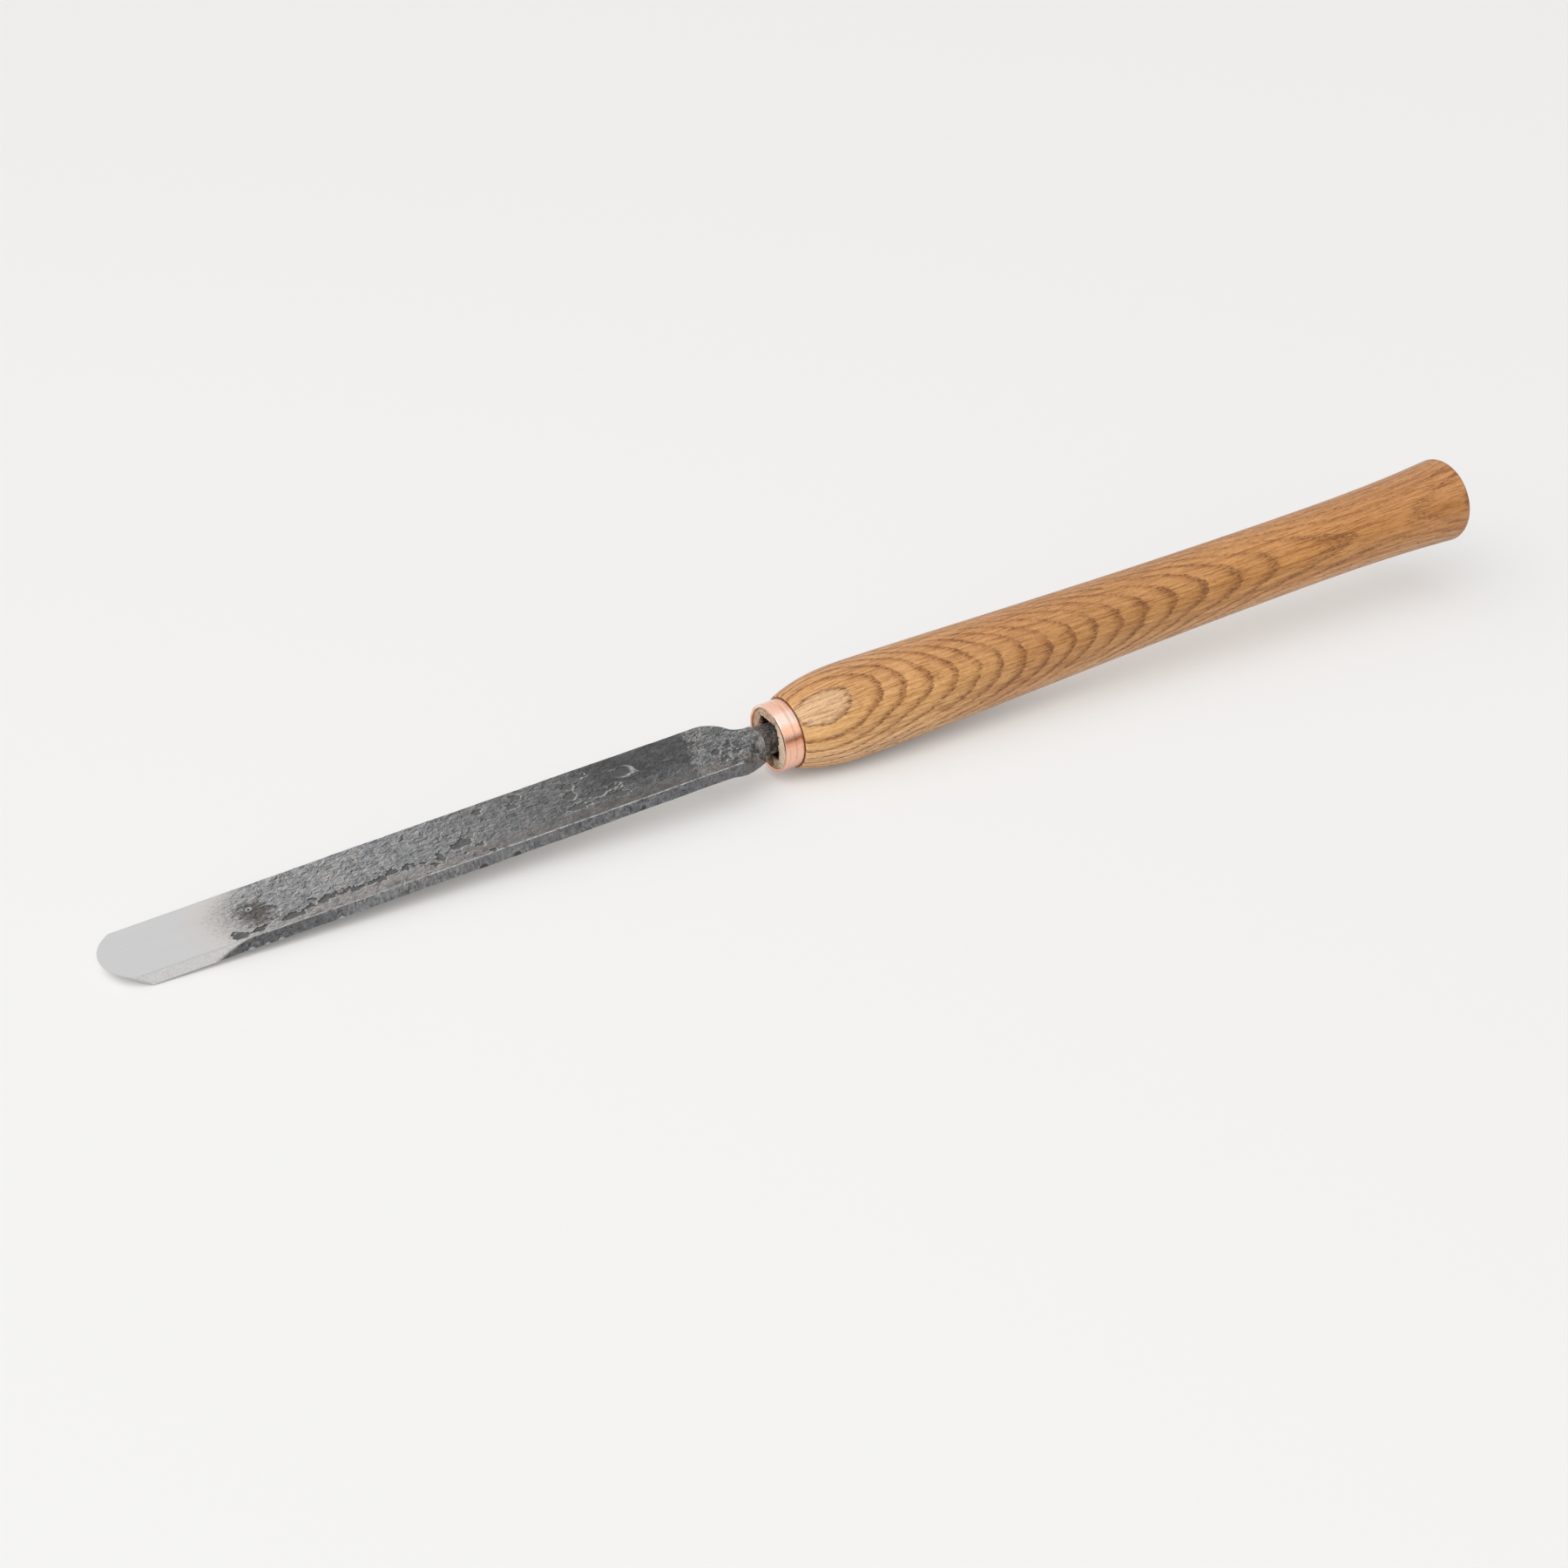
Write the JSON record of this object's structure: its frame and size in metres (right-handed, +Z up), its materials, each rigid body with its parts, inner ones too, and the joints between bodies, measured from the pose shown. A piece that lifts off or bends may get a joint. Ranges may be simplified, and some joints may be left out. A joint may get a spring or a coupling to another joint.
{
  "type": "round nose scraper",
  "caption": "Woodturning scraper with a forged flat blade ground to a round nose, a copper ferrule and a turned oak handle.",
  "frame": {"origin": "on the bench top, under the middle of the tool's box, with the tool at rest on its nose and its handle's belly", "axes": "+X from the nose towards the butt, +Y across the blade, +Z up from the bench"},
  "size_m": [0.4896, 0.031, 0.0462],
  "materials": {
    "forged_steel": "dark forge scale with a bright ground nose",
    "copper": "satin copper pipe",
    "oak": "oiled satin oak"
  },
  "bodies": {
    "root": {"blade": "forged_steel", "ferrule": "copper", "handle": "oak"}
  },
  "joints": []
}
